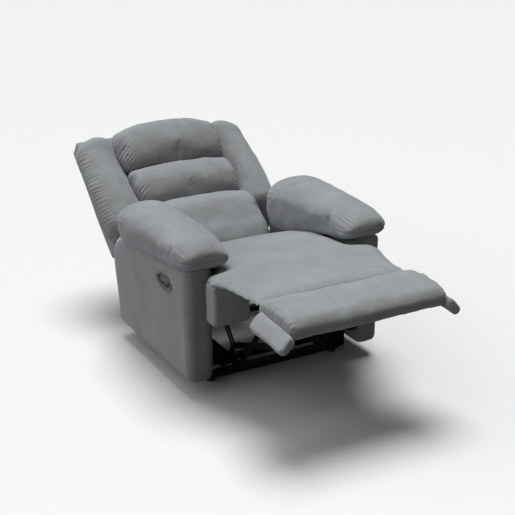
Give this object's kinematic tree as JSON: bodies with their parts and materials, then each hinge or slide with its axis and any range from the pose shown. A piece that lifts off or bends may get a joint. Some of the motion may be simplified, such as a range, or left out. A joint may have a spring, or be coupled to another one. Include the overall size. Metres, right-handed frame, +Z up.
{
  "type": "recliner armchair",
  "caption": "Manual recliner armchair with pillow arms, a three-channel bolstered back, a chaise seat and a folding footrest on black steel links, for sitting upright or lying back.",
  "frame": {"origin": "middle of the reclined chair's footprint, on the floor", "axes": "+Z up, the sitter faces -Y, -X is the sitter's right side, where the latch is"},
  "size_m": [0.896, 1.858, 0.7906],
  "materials": {
    "suede": "matte",
    "black_steel": "satin",
    "frame_wood": "matte",
    "grey_plastic": "satin",
    "dark_plastic": "matte",
    "spring_steel": "satin"
  },
  "bodies": {
    "base": {"arm_right_frame": "frame_wood", "arm_right_outer_panel": "suede", "arm_right_inner_panel": "suede", "arm_right_pad": "suede", "arm_left_frame": "frame_wood", "arm_left_outer_panel": "suede", "arm_left_inner_panel": "suede", "arm_left_pad": "suede", "front_bar": "black_steel", "middle_bar": "black_steel", "rear_bar": "black_steel", "base_rail_right": "black_steel", "glide_channel_right": "black_steel", "foot_right_front": "dark_plastic", "foot_right_rear": "dark_plastic", "base_rail_left": "black_steel", "glide_channel_left": "black_steel", "foot_left_front": "dark_plastic", "foot_left_rear": "dark_plastic", "latch_cup": "grey_plastic"},
    "latch": {"latch_paddle": "grey_plastic"},
    "seat": {"mechanism_plate_right": "black_steel", "seat_side_rail_right": "frame_wood", "seat_spring_right": "spring_steel", "seat_ear_right": "suede", "mechanism_plate_left": "black_steel", "seat_side_rail_left": "frame_wood", "seat_spring_left": "spring_steel", "seat_ear_left": "suede", "seat_front_board": "frame_wood", "seat_rear_rail": "frame_wood", "seat_cushion": "suede"},
    "flap": {"chaise_flap": "suede"},
    "link_a": {"link_a_right": "black_steel", "link_a_left": "black_steel", "torsion_tube": "black_steel"},
    "link_b": {"link_b_right": "black_steel", "link_b_left": "black_steel"},
    "link_c": {"link_c_right": "black_steel", "link_c_left": "black_steel"},
    "link_d": {"link_d_right": "black_steel", "link_d_left": "black_steel"},
    "footrest": {"footrest_wing_right": "suede", "footrest_bracket_right": "black_steel", "footrest_wing_left": "suede", "footrest_bracket_left": "black_steel", "footrest_board": "frame_wood", "footrest_cushion": "suede"},
    "back": {"back_post_right": "frame_wood", "back_bolster_right": "suede", "back_post_left": "frame_wood", "back_bolster_left": "suede", "back_panel": "suede", "back_rail_lower": "frame_wood", "back_rail_upper": "frame_wood", "back_middle_cushion": "suede", "back_head_cushion": "suede", "back_lumbar_cushion": "suede"}
  },
  "joints": [
    {"name": "back_recline", "type": "hinge", "parent": "seat", "child": "back", "pos_m": [0, 0.33893, 0.305], "axis": [1, 0, 0], "range_deg": [0, 33]},
    {"name": "seat_glide", "type": "slide", "parent": "base", "child": "seat", "axis": [0, 1, 0], "range_m": [0, 0.0251]},
    {"name": "footrest_extend", "type": "hinge", "parent": "seat", "child": "link_a", "pos_m": [0, -0.29007, 0.075], "axis": [1, 0, 0], "range_deg": [-67.9, 0]},
    {"name": "link_b_pivot", "type": "hinge", "parent": "link_a", "child": "link_b", "pos_m": [0, -0.38508, 0.19108], "axis": [1, 0, 0], "range_deg": [0, 118]},
    {"name": "link_c_pivot", "type": "hinge", "parent": "link_a", "child": "link_c", "pos_m": [0, -0.48008, 0.30715], "axis": [1, 0, 0], "range_deg": [0, 118]},
    {"name": "link_d_pivot", "type": "hinge", "parent": "link_b", "child": "link_d", "pos_m": [0, -0.52502, 0.24508], "axis": [1, 0, 0], "range_deg": [-118, 0]},
    {"name": "footrest_tilt", "type": "hinge", "parent": "link_c", "child": "footrest", "pos_m": [0, -0.75997, 0.41515], "axis": [1, 0, 0], "range_deg": [0, 35.5]},
    {"name": "flap_fold", "type": "hinge", "parent": "seat", "child": "flap", "pos_m": [0, -0.44807, 0.48], "axis": [1, 0, 0], "range_deg": [0, 90.2]},
    {"name": "latch_pull", "type": "hinge", "parent": "base", "child": "latch", "pos_m": [-0.415, -0.10507, 0.42], "axis": [0, 0, 1], "range_deg": [-28, 0], "stiffness_Nm_per_rad": 0.6, "springref_deg": 8.59}
  ],
  "couplings": [
    {"joint": "seat_glide", "follows": "back_recline", "m_per_rad": 0.043406},
    {"joint": "link_b_pivot", "follows": "footrest_extend", "ratio": -1.732},
    {"joint": "link_c_pivot", "follows": "footrest_extend", "ratio": -1.732},
    {"joint": "link_d_pivot", "follows": "footrest_extend", "ratio": 1.732},
    {"joint": "footrest_tilt", "follows": "footrest_extend", "ratio": -0.51988},
    {"joint": "flap_fold", "follows": "footrest_extend", "ratio": -1.3255}
  ]
}
